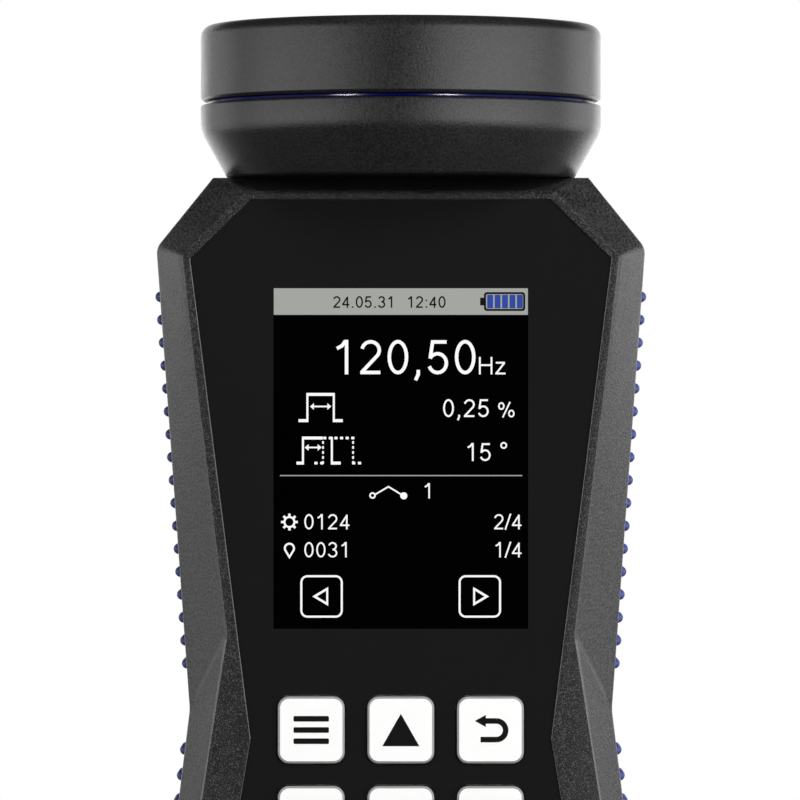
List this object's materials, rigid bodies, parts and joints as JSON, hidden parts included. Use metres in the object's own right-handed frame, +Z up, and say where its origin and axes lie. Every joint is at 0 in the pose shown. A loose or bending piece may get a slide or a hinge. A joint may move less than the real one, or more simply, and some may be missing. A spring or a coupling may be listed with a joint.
{
  "type": "hand-held stroboscope",
  "caption": "Hand-held ultraviolet stroboscope: waisted dark casing with screen, white keys and blue grip nubs, and a round lamp head on top.",
  "frame": {"origin": "middle of the flat base on which the casing stands, below the middle of the lamp head", "axes": "+Z up along the casing, the way the lamp shines; -Y the way the screen faces; +X to the right of someone who looks at the screen"},
  "size_m": [0.0842, 0.0688, 0.1913],
  "materials": {
    "casing_plastic": "fine-textured dark grey moulding",
    "panel_film": "matt black film",
    "window_plastic": "dark clear window",
    "key_plastic": "white moulding",
    "grip_rubber": "blue soft moulding",
    "accent_rubber": "glossy blue",
    "seal_rubber": "black",
    "lens_glass": "clear",
    "reflector_plastic": "metallised",
    "emitter_plastic": "clear domes on pale carriers",
    "board_laminate": "green laminate",
    "board_aluminium": "white-coated metal core",
    "bare_aluminium": "bare",
    "battery_wrap": "wrapped pouch",
    "ferrite": "moulded ferrite",
    "steel": "plated",
    "brass": "turned",
    "black_plastic": "moulded",
    "white_plastic": "moulded",
    "flex_film": "copper-coloured film",
    "lead_rubber": "red insulation"
  },
  "bodies": {
    "casing": {"front_shell": "casing_plastic", "rear_shell": "casing_plastic", "lamp_bowl": "casing_plastic", "front_bezel": "casing_plastic", "front_panel": "panel_film", "display_window": "window_plastic", "grip_nubs_left": "grip_rubber", "grip_nubs_right": "grip_rubber", "accent_ring": "accent_rubber", "case_gasket": "seal_rubber", "neck_seal": "seal_rubber", "lens_gasket": "seal_rubber", "thermal_pad": "seal_rubber", "battery_pad": "seal_rubber", "front_lens": "lens_glass", "reflector": "reflector_plastic", "uv_leds": "emitter_plastic", "main_board": "board_laminate", "driver_board": "board_laminate", "port_board": "board_laminate", "led_board": "board_aluminium", "heat_sink": "bare_aluminium", "neck_clamp": "bare_aluminium", "flash_capacitors": "bare_aluminium", "display_module": "bare_aluminium", "battery_pack": "battery_wrap", "boost_inductor": "ferrite", "case_screws": "steel", "board_screws": "steel", "board_spacers": "steel", "port_screws": "steel", "neck_screws": "steel", "head_screws": "steel", "usb_port": "steel", "tripod_bush": "brass", "tact_switches": "black_plastic", "trigger_jack": "black_plastic", "board_connectors": "white_plastic", "display_flex": "flex_film", "battery_lead": "lead_rubber", "led_lead": "lead_rubber"},
    "key_menu_body": {"key_menu": "key_plastic"},
    "key_up_body": {"key_up": "key_plastic"},
    "key_back_body": {"key_back": "key_plastic"},
    "key_left_body": {"key_left": "key_plastic"},
    "key_enter_body": {"key_enter": "key_plastic"},
    "key_right_body": {"key_right": "key_plastic"},
    "key_power_body": {"key_power": "key_plastic"},
    "key_down_body": {"key_down": "key_plastic"},
    "key_light_body": {"key_light": "key_plastic"}
  },
  "joints": [
    {"name": "key_menu_press", "type": "slide", "parent": "casing", "child": "key_menu_body", "axis": [0, 1, 0], "range_m": [0, 0.0007], "stiffness_N_per_m": 300},
    {"name": "key_up_press", "type": "slide", "parent": "casing", "child": "key_up_body", "axis": [0, 1, 0], "range_m": [0, 0.0007], "stiffness_N_per_m": 300},
    {"name": "key_back_press", "type": "slide", "parent": "casing", "child": "key_back_body", "axis": [0, 1, 0], "range_m": [0, 0.0007], "stiffness_N_per_m": 300},
    {"name": "key_left_press", "type": "slide", "parent": "casing", "child": "key_left_body", "axis": [0, 1, 0], "range_m": [0, 0.0007], "stiffness_N_per_m": 300},
    {"name": "key_enter_press", "type": "slide", "parent": "casing", "child": "key_enter_body", "axis": [0, 1, 0], "range_m": [0, 0.0007], "stiffness_N_per_m": 300},
    {"name": "key_right_press", "type": "slide", "parent": "casing", "child": "key_right_body", "axis": [0, 1, 0], "range_m": [0, 0.0007], "stiffness_N_per_m": 300},
    {"name": "key_power_press", "type": "slide", "parent": "casing", "child": "key_power_body", "axis": [0, 1, 0], "range_m": [0, 0.0007], "stiffness_N_per_m": 300},
    {"name": "key_down_press", "type": "slide", "parent": "casing", "child": "key_down_body", "axis": [0, 1, 0], "range_m": [0, 0.0007], "stiffness_N_per_m": 300},
    {"name": "key_light_press", "type": "slide", "parent": "casing", "child": "key_light_body", "axis": [0, 1, 0], "range_m": [0, 0.0007], "stiffness_N_per_m": 300}
  ]
}
